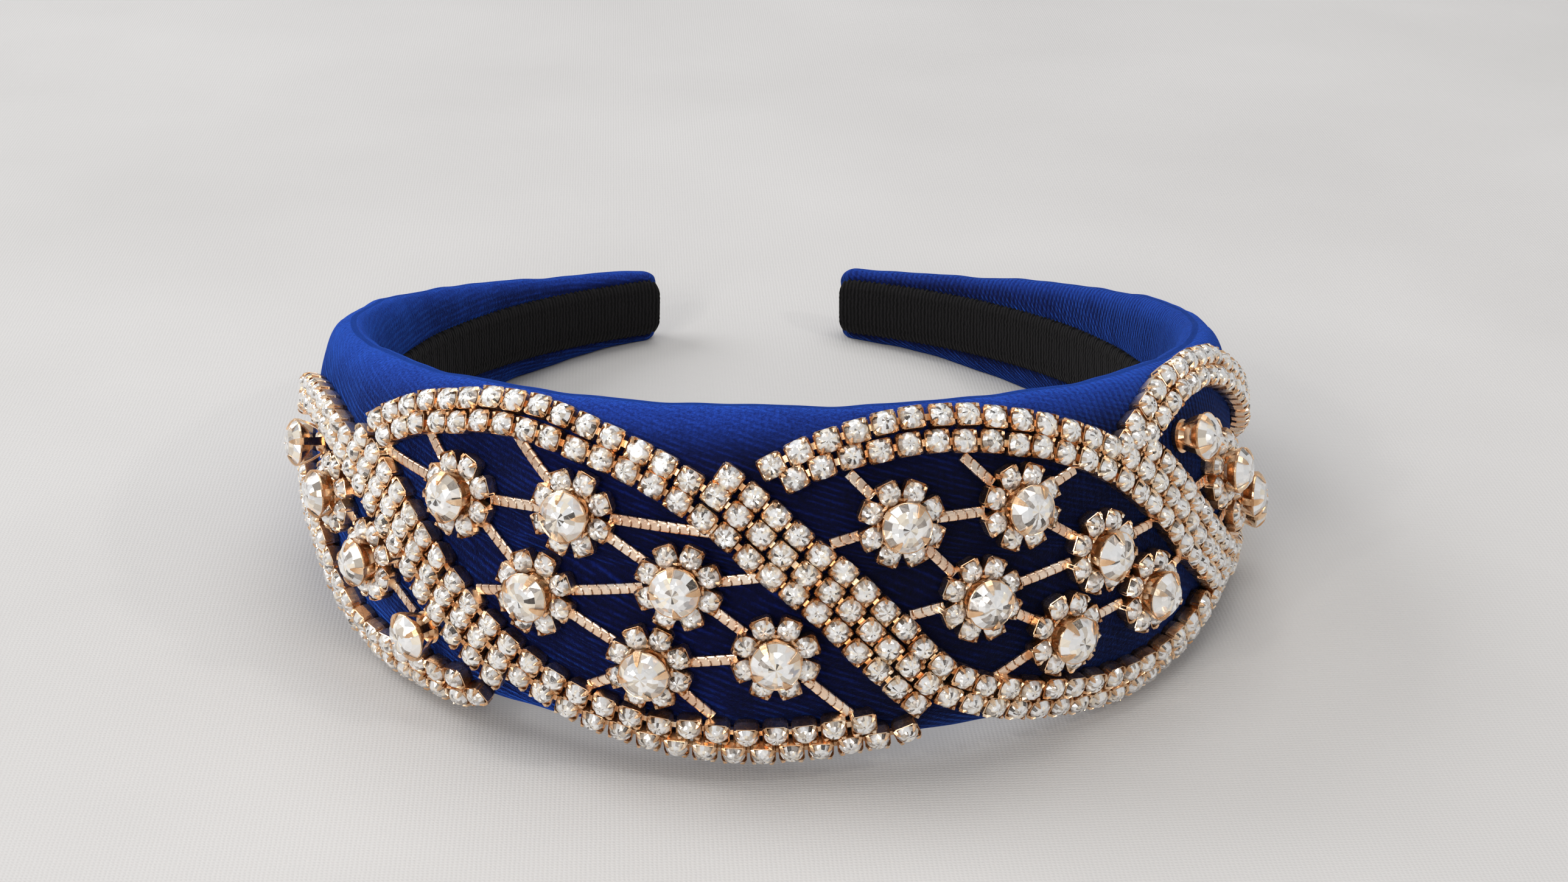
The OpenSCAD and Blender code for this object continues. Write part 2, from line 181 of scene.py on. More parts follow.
def add_piece(name, points, faces, material, slot, nodes=(), smooth=True, uv=None, finish=None):
    """Makes a piece from points in millimetres, with its material, puts it on the root body and
    hides the parts that it stands for. uv gives each point its place on the cloth, and the last
    argument three numbers for each point that the material reads."""
    mesh = bpy.data.meshes.new(name)
    mesh.from_pydata((np.asarray(points) * MM).tolist(), [], [list(map(int, f)) for f in faces])
    if uv is not None:
        layer = mesh.uv_layers.new(name="cloth")
        corners = np.zeros(len(mesh.loops), np.int32)
        mesh.loops.foreach_get("vertex_index", corners)
        layer.data.foreach_set("uv", np.asarray(uv)[corners].astype(np.float32).ravel())
    if finish is not None:
        attribute = mesh.attributes.new("finish", "FLOAT_VECTOR", "POINT")
        attribute.data.foreach_set("vector", np.asarray(finish, np.float32).ravel())
    mesh.polygons.foreach_set("use_smooth", np.full(len(mesh.polygons), smooth))
    mesh.materials.append(material)
    mesh.update()
    piece = bpy.data.objects.new(name, mesh)
    bpy.context.scene.collection.objects.link(piece)
    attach(piece, "root")
    if nodes:
        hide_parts(*nodes)
    return piece


def new_material(name):
    """A material and three functions: add adds a node with its inputs and settings, math adds a
    Math node and gives its result, and set_shader gives the shader its inputs. An input is a
    number, a colour or the socket of another node."""
    material = bpy.data.materials.new(name)
    material.use_nodes = True
    tree = material.node_tree

    def fill(node, inputs):
        for key, value in inputs.items():
            if isinstance(value, bpy.types.NodeSocket):
                tree.links.new(value, node.inputs[key])
            else:
                node.inputs[key].default_value = value

    def add(kind, inputs=None, **settings):
        node = tree.nodes.new(kind)
        for key, value in settings.items():
            setattr(node, key, value)
        fill(node, inputs or {})
        return node

    def math(kind, *values):
        return add("ShaderNodeMath", dict(enumerate(values)), operation=kind).outputs[0]

    def set_shader(inputs):
        fill(tree.nodes["Principled BSDF"], inputs)

    return material, add, math, set_shader


def own_numbers(add):
    """The three numbers that a piece keeps at each point in an attribute of its own."""
    kept = add("ShaderNodeAttribute", attribute_name="finish").outputs["Vector"]
    return list(add("ShaderNodeSeparateXYZ", {"Vector": kept}).outputs)


def noise(add, where, scale, detail, roughness=0.5, distortion=0.0):
    """A noise over the places where, about nought to one."""
    inputs = {"Vector": where, "Scale": scale, "Detail": detail, "Roughness": roughness,
              "Distortion": distortion}
    return add("ShaderNodeTexNoise", inputs).outputs["Fac"]


def bands(add, where, direction, scale, distortion, detail_scale=1.0):
    """Uneven bands over the places where, that follow each other in one direction, nought to
    one."""
    return add("ShaderNodeTexWave", {"Vector": where, "Scale": scale, "Distortion": distortion,
                                     "Detail": 2, "Detail Scale": detail_scale},
               bands_direction=direction).outputs["Fac"]


def ramp(add, fac, stops, constant=False):
    """The colour over fac, between stops of place and colour. Where constant is true, a stop's
    colour holds as far as the next stop."""
    node = add("ShaderNodeValToRGB", {"Fac": fac})
    node.color_ramp.interpolation = "CONSTANT" if constant else "LINEAR"
    points, stops = node.color_ramp.elements, list(stops)
    while len(points) < len(stops):
        points.new(0.5)
    for point, (place, colour) in zip(points, stops):
        point.position, point.color = place, (*colour, 1)
    return node.outputs["Color"]


def scaled(add, vector, share):
    """A colour or a direction times a number."""
    return add("ShaderNodeVectorMath", {0: vector, "Scale": share}, operation="SCALE").outputs[0]


def bumped(add, height, strength, depth):
    """The direction of the surface over a fine relief, with its depth in metres."""
    return add("ShaderNodeBump", {"Height": height, "Strength": strength,
                                  "Distance": depth}).outputs["Normal"]


# The pile's lightness is the sum of its brushed shade, its tufts, its ribs and its slanting
# creases. Over the upper edge the tufts count for more, the creases for less, and a lighter copy of
# the blues is mixed in as painted light. Colour and sheen tint are scaled by painted shade.
DEEP_BLUES = [(0.2, (0.0006, 0.0008, 0.006)), (0.5, (0.0014, 0.003, 0.04)),
              (0.8, (0.004, 0.014, 0.15))]
LIT_BLUES = [(0.2, (0.0045, 0.014, 0.11)), (0.5, (0.009, 0.032, 0.24)), (0.8, (0.016, 0.06, 0.42))]
SHEEN_BLUES = [(0.2, (0.012, 0.07, 0.58)), (0.6, (0.04, 0.2, 1.0))]
CREASE_SLANT, CREASE_SCALE = (0, 0, 0.38), (1, 0.2, 1)
velvet, add, math, set_shader = new_material("royal blue velvet")
cloth_at = add("ShaderNodeUVMap", uv_map="cloth").outputs["UV"]
slant = {"Vector": cloth_at, "Rotation": CREASE_SLANT, "Scale": CREASE_SCALE}
slanted = add("ShaderNodeMapping", slant, vector_type="TEXTURE").outputs["Vector"]
# The first number is painted shade, darker over the right of the band; the second says how far the
# upper edge gets painted light.
painted_shade, top, ribbed = own_numbers(add)
brushed = noise(add, cloth_at, 70, 3, roughness=0.6, distortion=0.6)
pile = noise(add, cloth_at, 2300, 3, roughness=0.75)
tuft = ramp(add, pile, [(0.35, (0, 0, 0)), (0.68, (1, 1, 1))])
tuft_share = math("MULTIPLY_ADD", top, 0.3, 0.2)
creased = noise(add, slanted, 300, 2, distortion=0.2)
crease = ramp(add, creased, [(0.36, (0.1, 0.1, 0.1)), (0.62, (1, 1, 1))])
crease = math("MULTIPLY", crease, bands(add, slanted, "Y", 74, 2.5, detail_scale=1.5))
crease_share = math("MULTIPLY_ADD", top, -0.22, 0.34)
ribs = math("MULTIPLY", bands(add, cloth_at, "X", 300, 2.5), ribbed)
light = math("MULTIPLY_ADD", brushed, 0.4, 0.05)
light = math("MULTIPLY_ADD", tuft, tuft_share, light)
light = math("MULTIPLY_ADD", ribs, 0.2, light)
light = math("MULTIPLY_ADD", crease, crease_share, light)
relief = math("MULTIPLY", crease, crease_share)
relief = math("MULTIPLY_ADD", relief, 4, tuft)
relief = math("MULTIPLY_ADD", ribs, 1.6, relief)
# Over the upper edge a lighter copy of the blues is mixed in: painted light.
blues = {"Factor": top, "A": ramp(add, light, DEEP_BLUES), "B": ramp(add, light, LIT_BLUES)}
blue = add("ShaderNodeMix", blues, data_type="RGBA").outputs["Result"]
# Both the colour and the sheen's tint are scaled by the painted shade.
set_shader({
    "Base Color": scaled(add, blue, painted_shade), "Roughness": 0.92, "Specular IOR Level": 0.15,
    "Sheen Weight": 1.0, "Sheen Roughness": 0.34,
    "Sheen Tint": scaled(add, ramp(add, light, SHEEN_BLUES), painted_shade),
    "Normal": bumped(add, relief, 0.75, 0.00014)})

BAND_STATIONS, BAND_SIDES = 1000, 68
END_ROUND, END_RINGS, FIRST_RING = 3.0, 10, 0.12
INSET_UP, INSET_OUT, INSET_IN = 0.86, 0.9, 0.8
PAD_WAVES = [(31, 47, 0.4, 0.1), (-19, 38, 1.9, 0.08), (11.3, 27, 4.1, 0.05), (7.1, -19, 2.7, 0.03)]
RIBBON_HALF = 5.2
BED_DEPTH, BED_EDGE = 0.45, 0.25
# Painted shade: the tone where unshaded, and how much darker the right of the outer face and the
# right end of the inner face are painted.
UNSHADED_TONE, RIGHT_PAINTED_SHADE, INNER_PAINTED_SHADE = 1.12, 0.74, 0.36
RIBS_LEAST, RIBS_MORE = 0.12, 0.88
UPPER_EDGE, OUTER_FACE = (0.86, 0.05), (0.55, 0.08)
DARK_FROM, DARK_TO, DARK_BELOW = (-2, 9), (100, 8), 0.9
INNER_FROM = (50, 10)
OPEN_FROM, OPEN_ABOVE = (26, 5), (0.5, 0.1)


def painted_light_and_ribs_of(u, v, n):
    """Three numbers from soft steps along, up and through the band: painted shade, which darkens
    the right of the outer face, less over its upper edge, and the right end of the inner face; how
    far the upper edge gets painted light; and how far the pile's ribs show. The ribs open where the
    cover is stretched round the right."""
    high = v / half_width(u)
    up = soft_step(high, *UPPER_EDGE)
    outer = soft_step(n / thickness(u), *OUTER_FACE)
    dark = RIGHT_PAINTED_SHADE * (soft_step(u, *DARK_FROM) - soft_step(u, *DARK_TO))
    dark = dark * outer * (1 - DARK_BELOW * up)
    inner = INNER_PAINTED_SHADE * soft_step(u, *INNER_FROM) * (1 - outer)
    opened = soft_step(u, *OPEN_FROM)
    open_ribs = RIBS_LEAST + RIBS_MORE * opened * soft_step(high, *OPEN_ABOVE)
    return np.stack([UNSHADED_TONE - dark - inner, up, open_ribs], -1)


def cover_grid():
    """Places on the cover: its section is an oval of the exponent ROUNDNESS, carried along the
    inner face. Over the last millimetres it draws in along a quarter circle, to round the ends."""
    inside = HALF_LEN - END_ROUND
    last = inside + END_ROUND * np.sin(np.linspace(FIRST_RING, 1, END_RINGS) * np.pi / 2)
    u = np.concatenate([-last[::-1], np.linspace(-inside, inside, BAND_STATIONS), last])[:, None]
    past = np.maximum(np.abs(u) - inside, 0) / END_ROUND
    inset = END_ROUND * INSET_UP * (1 - np.sqrt(np.maximum(1 - past ** 2, 0)))
    a = (np.arange(BAND_SIDES)[None, :] + 0.5) * 2 * np.pi / BAND_SIDES
    c, s = power(np.cos(a), 2 / ROUNDNESS), power(np.sin(a), 2 / ROUNDNESS)
    w, t = half_width(u) - inset, thickness(u)
    outward, inward = t * (1 - INNER_SHARE) - inset * INSET_OUT, t * INNER_SHARE - inset * INSET_IN
    return u + 0 * a, w * c, t * INNER_SHARE + np.where(s > 0, outward, inward) * s


u, v, n = cover_grid()
p = band_point(u, v, n)
reach = np.cumsum(np.linalg.norm(np.diff(p, axis=1, append=p[:, :1]), axis=-1), axis=1)
cap_uv = [[u[0, 0], 0], [u[-1, 0], 0]]
cloth_uv = np.concatenate([np.stack([u, reach], -1).reshape(-1, 2), cap_uv]) * MM
# Painted shade, painted light over the upper edge, and how far the ribs show, for each point of the
# cover.
painted_light_and_ribs = painted_light_and_ribs_of(u, v, n)
painted_light_and_ribs = np.concatenate([painted_light_and_ribs.reshape(-1, 3), painted_light_and_ribs[0, :1], painted_light_and_ribs[-1, :1]])
under_ribbon = (n < thickness(u) * INNER_SHARE) * soft_step(-np.abs(v), -RIBBON_HALF, BED_EDGE)
raise_by = ripple(u, v, PAD_WAVES) * (1 - under_ribbon) - BED_DEPTH * under_ribbon
p = p - surface_normals(p) * raise_by[..., None]
p[..., 2] = np.maximum(p[..., 2], 0)
cover = add_piece("velvet_cover", *fan_capped(p), velvet, "velvet", ["velvet_band"], uv=cloth_uv,
                  finish=painted_light_and_ribs)

# Ribbon: a black knitted ribbon sewn along the inner face over the cover's raw edges, with fine
# ridges along it and a small scallop along both edges. It ends just short of the band's two ends.
KNIT_BLACKS = [(0.3, (0.0008, 0.0008, 0.0009)), (0.9, (0.0035, 0.0032, 0.0035)),
               (1.0, (0.01, 0.009, 0.01))]
ribbon, add, math, set_shader = new_material("black knitted ribbon")
knit_at = add("ShaderNodeUVMap", uv_map="cloth").outputs["UV"]
courses = bands(add, knit_at, "X", 420, 2.5, detail_scale=2)
lint = noise(add, knit_at, 3000, 3, roughness=0.7)
knit = math("MULTIPLY_ADD", lint, 0.7, courses)
set_shader({
    "Base Color": ramp(add, knit, KNIT_BLACKS), "Roughness": 0.85, "Specular IOR Level": 0.16,
    "Sheen Weight": 0.05, "Sheen Roughness": 0.5, "Sheen Tint": (0.5, 0.48, 0.46, 1),
    "Normal": bumped(add, knit, 0.9, 0.00015)})

RIBBON_STATIONS, RIBBON_ACROSS = 1500, 26
RIBBON_T, RIBBON_SUNK = 0.9, 0.25
RIBBON_SHORT = 0.9
END_TAPER, TAPER_RUN = 1.2, 0.6
EDGE_SHARE = 0.96
EDGE_POWER, RIDGE_POWER = 7, 6
RIDGES, RIDGE_HEIGHT = 8, 0.09
SCALLOP_PITCH, SCALLOP = 1.02, 0.22
CROSS_HEIGHT, CROSS_SLANT = 0.04, 3


def inner_height(u, v):
    """Height of the cover's inner face over the inner curve: the share of the thickness left out
    by its oval."""
    q = np.minimum(np.abs(v) / half_width(u), 0.999)
    return thickness(u) * INNER_SHARE * (1 - (1 - q ** ROUNDNESS) ** (1 / ROUNDNESS))


def ribbon_grid():
    """Places on the ribbon, round its section: a flat strip with rounded long edges, raised in
    RIDGES ridges by a cosine across it, and scalloped along its edges by a cosine of the distance
    along it. Its ends draw in by an exponential, and its back lies sunk in the cover."""
    end = HALF_LEN - RIBBON_SHORT
    u = np.linspace(-end, end, RIBBON_STATIONS)[:, None]
    along = 2 * np.pi * u / SCALLOP_PITCH
    w = RIBBON_HALF + SCALLOP * np.cos(along) - END_TAPER * np.exp((np.abs(u) - end) / TAPER_RUN)
    q = np.sin(np.linspace(-1, 1, RIBBON_ACROSS) * np.pi / 2 * EDGE_SHARE)[None, :]
    q = q / np.sin(np.pi / 2 * EDGE_SHARE)
    top = RIBBON_T * (1 - np.abs(q) ** EDGE_POWER) ** 0.5
    ridge = RIDGE_HEIGHT * np.cos(np.pi * q * RIDGES) * (1 - np.abs(q) ** RIDGE_POWER)
    v = w * q
    bed = inner_height(u, v)
    cross = CROSS_HEIGHT * np.cos(along + CROSS_SLANT * q)
    upper, lower = bed - top - ridge - cross, bed + RIBBON_SUNK
    v = np.concatenate([v, v[:, ::-1]], 1)
    return u + 0 * v, v, np.concatenate([upper, lower[:, ::-1]], 1)


u, v, n = ribbon_grid()
p = band_point(u, v, n)
rows, columns = p.shape[:2]
faces = grid_faces(rows, columns).tolist()
faces += [list(range(columns)), list(range((rows - 1) * columns, rows * columns))[::-1]]
ribbon_uv = np.stack([u, v], -1).reshape(-1, 2) * MM
add_piece("inner_ribbon", p.reshape(-1, 3), faces, ribbon, "ribbon", ["lining_ribbon"],
          uv=ribbon_uv)

# Cup chains: clear foiled stones in rose gold cups, each with a claw at every corner, joined by
# short links and sewn down by hand in waves round the front. Two strands run over each arch and
# trough, and three down each slanting run.
STONE_PITCH = 3.8
RUN_SPACING, ARC_SPACING = 3.1, 2.72
RUN_TO, ARC_FROM = 18, 32
ROW_SHIFT = {-1: 0.5, 0: -0.4, 1: -0.7}
GAP = 0.15
TRIM_MID = 2.6
SAG_SLOPE, SAG_CURVE = 0.014, 0.00025
CLOTH_T = 10.5
EDGE = 0.92


def under(d):
    """Distance along the inner face under the distance d along the cloth: each arc is CLOTH_T
    wider there."""
    a = np.abs(d)
    first = (ARC_RADII[0] + CLOTH_T) * ARC_TURNS[0]
    inner = np.minimum(a, first) * ARC_RADII[0] / (ARC_RADII[0] + CLOTH_T)
    return np.sign(d) * (inner + np.maximum(a - first, 0) * ARC_RADII[1] / (ARC_RADII[1] + CLOTH_T))


def cloth_frame(spots):
    """Origins and three unit directions (along, up, out) on the cloth at the trim's places. The
    tip of up is the slope of the cover's oval there, and out is the cross product of along and
    up."""
    d, height = spots[..., 0] + TRIM_MID, spots[..., 1]
    u = under(d)
    v = height * half_width(u) / (FRONT_W / 2) + SAG_SLOPE * d - SAG_CURVE * d * d
    w, t = half_width(u), thickness(u)
    q = np.minimum(np.abs(v) / w, EDGE)
    left = 1 - q ** ROUNDNESS
    n = t * (INNER_SHARE + (1 - INNER_SHARE) * left ** (1 / ROUNDNESS))
    slope = -(left ** (1 / ROUNDNESS - 1)) * q ** (ROUNDNESS - 1)
    tip = np.arctan(np.sign(v) * t * (1 - INNER_SHARE) * slope / w) + FLARE
    turn = heading(u)
    up = np.stack([np.sin(turn) * np.sin(tip), -np.cos(turn) * np.sin(tip), np.cos(tip)], -1)
    along = np.stack([np.cos(turn), np.sin(turn), 0 * turn], -1)
    out = np.cross(along, up)
    return band_point(u, v, n), turn_to_rest(along), turn_to_rest(up), turn_to_rest(out)


def walk(path, start, slope, s):
    """Points and headings at the distances s along a path of arcs, each a length and a turn. Each
    arc adds its chord: its length times sin(t/2)/(t/2), along the heading at its middle, where t
    is the turn so far."""
    at, way, past = np.tile(np.array(start, float), (len(s), 1)), np.full(len(s), slope), 0
    for length, turn in path:
        part = np.clip(s - past, 0, length)
        t = turn * part / length
        chord = part * np.sinc(t / 2 / np.pi)
        at = at + chord[:, None] * np.stack([np.cos(way + t / 2), np.sin(way + t / 2)], -1)
        way, past = way + t, past + length
    return at, way


WAVE_PITCH = 59.6
CREST = 22.0
WAVE_R = 57.0
RUN_SLOPE = np.radians(44)
ARC = WAVE_R * RUN_SLOPE
RUN_HALF = (CREST - WAVE_R * (1 - np.cos(RUN_SLOPE))) / np.sin(RUN_SLOPE)
OPEN_PATH = [(RUN_HALF, 0), (ARC, RUN_SLOPE), (ARC, RUN_SLOPE)]
END_PATH = [(2, 0), (46, np.radians(44)), (22, np.radians(46))]
LOW_START, LOW_SLOPE = (-119.5, 3.5), np.radians(21)
LOW_PATH = [(24, 0), (7, np.radians(-21)), (5, 0), (28, np.radians(42)), (12, np.radians(10))]
HIGH_START, HIGH_SLOPE = (-119.5, -0.5), np.radians(27.6)
HIGH_PATH = [(31.8, 0), (10.8, np.radians(5.6)), (45, np.radians(67.5))]
WALK_STEP, WAVE_REACH, END_REACH = 0.05, 86, 87
STRAY_LEFT = [(48, 0), (57, -0.5), (65, -1.2), (70, -2), (76, -3.3)]
STRAY_MIDDLE = [(-70, 1.1), (-62, 0.5), (-50, 0.3), (-38, -0.3), (-20, -0.1), (-10, -0.5), (2, 0),
                (12, -0.6), (21, -1.9), (28, -1.3), (37, -0.2), (46, 0.3), (60, 0)]
STRAY_RIGHT = [(-79, -1.8), (-76, -1.3), (-69, -0.9), (-62, -1), (-42, -0.9), (-30, -0.3), (-22, 0)]
STRAY_LOW = [(44, 0), (50, 0.6), (57, 1.9), (62, 2.2), (66, 1.9), (70, 1.3), (73, 1.2), (76, 1.6),
             (79, 3)]
NO_STRAY = [(0, 0)]
AHEAD = 0.2


def wave(at_u, first_path, last_path):
    """The middle line of one wave, as distances, places and headings: a path walked both ways from
    the middle of its slanting run, the second way turned half round."""
    t = np.arange(-WAVE_REACH, WAVE_REACH, WALK_STEP)
    back, on = (walk(path, (0, 0), -RUN_SLOPE, np.abs(t)) for path in (first_path, last_path))
    before = t < 0
    places = np.where(before[:, None], -back[0], on[0]) + np.array([at_u, 0])
    return t, places, np.where(before, back[1], on[1])


def strand(line, place, low, high, stray):
    """One strand of cups beside a line, between two distances along it: places just behind the
    cups' middles, and places as far ahead of them. The cups lie STONE_PITCH apart along the
    strand's own length on the cloth, counted from the line's zero."""
    t, spots, way = (a[(line[0] >= low) & (line[0] <= high)] for a in line)
    spacing = np.interp(np.abs(t), [RUN_TO, ARC_FROM], [RUN_SPACING, ARC_SPACING])
    side = place * spacing + np.interp(t, *zip(*stray))
    spots = spots + side[:, None] * np.stack([-np.sin(way), np.cos(way)], -1)
    steps = np.linalg.norm(np.diff(cloth_frame(spots)[0], axis=0), axis=1)
    run = np.concatenate([[0], np.cumsum(steps)])
    run -= np.interp(0, t, run) + ROW_SHIFT[place]
    stops = STONE_PITCH * np.arange(np.ceil(run[0] / STONE_PITCH), run[-1] / STONE_PITCH)
    return [np.stack([np.interp(stops + more, run, spots[:, k]) for k in (0, 1)], -1)
            for more in (-AHEAD, AHEAD)]


def wave_strands(line, ends, stray=NO_STRAY):
    """The strands along a line; ends gives each one's place beside it and the distances along it
    between which it lies."""
    return [strand(line, place, low, high, stray) for place, low, high in ends]


def turned(strands):
    """The same strands turned half round about the middle of the front."""
    return [[-first, -last] for first, last in strands]


end_t = np.arange(0, END_REACH, WALK_STEP)
low_line = (end_t, *walk(LOW_PATH, LOW_START, -LOW_SLOPE, end_t))
high_line = (end_t, *walk(HIGH_PATH, HIGH_START, -HIGH_SLOPE, end_t))
low_strands = wave_strands(low_line, [(0, 0, 79), (1, 0, 76)], STRAY_LOW)
high_strands = turned(wave_strands(high_line, [(0, 0, 85), (1, 0, 80)]))
left_strands = wave_strands(wave(-WAVE_PITCH, END_PATH, OPEN_PATH),
                            [(0, -66, 78), (-1, -63, 20.5), (1, -20.5, 75)], STRAY_LEFT)
middle_strands = wave_strands(wave(0, OPEN_PATH, OPEN_PATH),
                              [(0, -78, 84), (-1, -79, 20.5), (1, -20.5, 77)], STRAY_MIDDLE)
right_strands = wave_strands(wave(WAVE_PITCH, OPEN_PATH, END_PATH),
                             [(0, -77, 66), (-1, -76, 20.5), (1, -20.5, 63)], STRAY_RIGHT)


def unit(v):
    """Each direction over its own length."""
    return v / np.linalg.norm(v, axis=1, keepdims=True)


def copies(shape, origin, e, m, out):
    """A copy of a shape at each origin, all as one shape: each point's x goes along e, its y along
    m and its z along out."""
    points, faces = shape
    placed = origin[:, None] + points[:, :1] * e[:, None] + points[:, 1:2] * m[:, None]
    placed = placed + points[:, 2:] * out[:, None]
    starts = range(0, len(origin) * len(points), len(points))
    return placed.reshape(-1, 3), [[i + start for i in face] for start in starts for face in faces]


def loft_shape(rings):
    """A closed shape through rings of points, each ring counted anticlockwise seen from the last
    one."""
    rings = np.asarray(rings, float)
    count, size = rings.shape[:2]
    faces = grid_faces(count, size)[:, ::-1].tolist()
    faces += [list(range(size))[::-1], list(range((count - 1) * size, count * size))]
    return rings.reshape(-1, 3), faces


def join_shapes(shapes):
    """Several shapes as one list of points and one of faces."""
    points, faces, start = [], [], 0
    for p, f in shapes:
        points.append(p)
        faces += [[i + start for i in face] for face in f]
        start += len(p)
    return np.concatenate(points), faces


def brilliant(r, table_r, star_r, girdle_z, star_z, table_z, foot):
    """A round stone cut with a table, eight stars, eight kites and sixteen girdle facets, and a
    plain pavilion that ends at the ring foot, a radius and a height. Its rings stand at eighths
    and sixteenths of a turn."""
    eighth, sixteenth = np.arange(8) * np.pi / 4, np.arange(16) * np.pi / 8
    levels = [(table_r, table_z, eighth), (star_r, star_z, eighth + np.pi / 8),
              (r, girdle_z, sixteenth), (*foot, sixteenth)]
    rings = [np.stack([rad * np.cos(a), rad * np.sin(a), z + 0 * a], -1) for rad, z, a in levels]
    faces = [list(range(8))]
    for k in range(8):
        after = (k + 1) % 8
        here, half, there = 16 + 2 * k, 17 + 2 * k, 16 + (2 * k + 2) % 16
        faces += [[k, 8 + k, after], [k, 8 + (k - 1) % 8, here, 8 + k], [8 + k, here, half],
                  [8 + k, half, there]]
    for k in range(16):
        after = (k + 1) % 16
        faces.append([16 + k, 32 + k, 32 + after, 16 + after])
    return np.concatenate(rings), faces + [list(range(47, 31, -1))]


def claw(stations, turn, section):
    """A bent claw through stations of distance from the middle, height, width and thickness,
    turned about the middle. Its section's corners are given as shares of half the thickness and
    half the width."""
    s = np.array(stations, float)
    along = unit(np.gradient(s[:, :2], axis=0))
    corners = np.array(section, float)
    x = s[:, None, 0] + corners[:, 0] * (along[:, 1] * s[:, 3] / 2)[:, None]
    z = s[:, None, 1] - corners[:, 0] * (along[:, 0] * s[:, 3] / 2)[:, None]
    y = corners[:, 1] * s[:, 2:3] / 2
    cos_t, sin_t = np.cos(turn), np.sin(turn)
    return loft_shape(np.stack([x * cos_t - y * sin_t, x * sin_t + y * cos_t, z], -1))


STONE_R = 1.56
CUP_HALF_L, CUP_HALF_W, CUP_CORNER = 1.74, 1.56, 0.45
CUP_PROFILE = [(0.84, GAP), (0.97, 0.9), (1, 2.2), (0.965, 2.3), (0.93, 2.15), (0.88, 1.75)]
RIDGED_BAR = [(1, 0), (-1, 1), (-1, -1)]
CLAW_STATIONS = [(1.98, 1.2, 0.7, 0.22), (2.04, 2.3, 0.7, 0.26), (1.76, 2.8, 0.6, 0.26),
                 (1.24, 3.04, 0.2, 0.16)]
LINK_HALF_L, LINK_HALF_W, LINK_LOW, LINK_HIGH = 0.6, 0.45, 1.1, 1.6


def cup_shape():
    """A square cup with cut corners: rings of eight points from its foot up the wall, over the rim
    and down inside, each the same outline times its share."""
    a, b, c = CUP_HALF_L, CUP_HALF_W, CUP_CORNER
    outline = np.array([(a, c - b), (a, b - c), (a - c, b), (c - a, b),
                        (-a, b - c), (-a, c - b), (c - a, -b), (a - c, -b)])
    return loft_shape([np.column_stack([outline * k, np.full(8, z)]) for k, z in CUP_PROFILE])


small_stone = brilliant(STONE_R, table_r=0.85, star_r=1.26, girdle_z=2.3, star_z=2.8, table_z=3.1,
                        foot=(1.2, 1.7))
corner = np.arctan2(CUP_HALF_W, CUP_HALF_L)
claw_turns = (corner, np.pi - corner, np.pi + corner, -corner)
corner_claws = [claw(CLAW_STATIONS, t, RIDGED_BAR) for t in claw_turns]
small_cup = join_shapes([cup_shape()] + corner_claws)
link_ring = np.array([(-1, -1), (1, -1), (1, 1), (-1, 1)]) * [LINK_HALF_L, LINK_HALF_W]
chain_link = loft_shape([np.column_stack([link_ring, np.full(4, z)])
                         for z in (LINK_LOW, LINK_HIGH)])

TONE_PLACES = (0.35, 0.52, 0.65)
ROSE_GOLDS = [(0.7, 0.4, 0.2), (0.93, 0.62, 0.38), (1.0, 0.82, 0.62)]
# Painted reflections of the stones' facets, from dark through grey and champagne to white.
PAINTED_FACET_REFLECTIONS = [(0.0, (0.06, 0.045, 0.035)), (0.06, (0.35, 0.3, 0.26)), (0.16, (0.68, 0.6, 0.5)),
                 (0.28, (1, 0.9, 0.74)), (0.4, (0.97, 0.95, 0.92)), (0.6, (1, 1, 1))]
SEAM_SHADES = [(0.72, (1, 1, 1)), (0.95, (0.3, 0.19, 0.12))]
RING_RADII, FACET_TILT = (0.3, 0.72), 0.8


def polished_plate(name, tones, seams=False):
    """Polished gold plate: a warm metal whose tone and roughness vary with fine wear. Where seams
    is true, the first of the piece's own numbers nears one at the dark joints between the
    plates."""
    material, add, _, set_shader = new_material(name)
    where = add("ShaderNodeTexCoord").outputs["Object"]
    wear = noise(add, where, 900, 4, roughness=0.65)
    colour = ramp(add, noise(add, where, 260, 3), zip(TONE_PLACES, tones))
    if seams:
        shade = ramp(add, own_numbers(add)[0], SEAM_SHADES)
        colour = add("ShaderNodeVectorMath", {0: colour, 1: shade}, operation="MULTIPLY").outputs[0]
    rough = add("ShaderNodeMapRange", {"Value": wear, "To Min": 0.14, "To Max": 0.38})
    set_shader({"Base Color": colour, "Roughness": rough.outputs["Result"], "Metallic": 1.0,
                "Normal": bumped(add, wear, 0.35, 0.0001)})
    return material


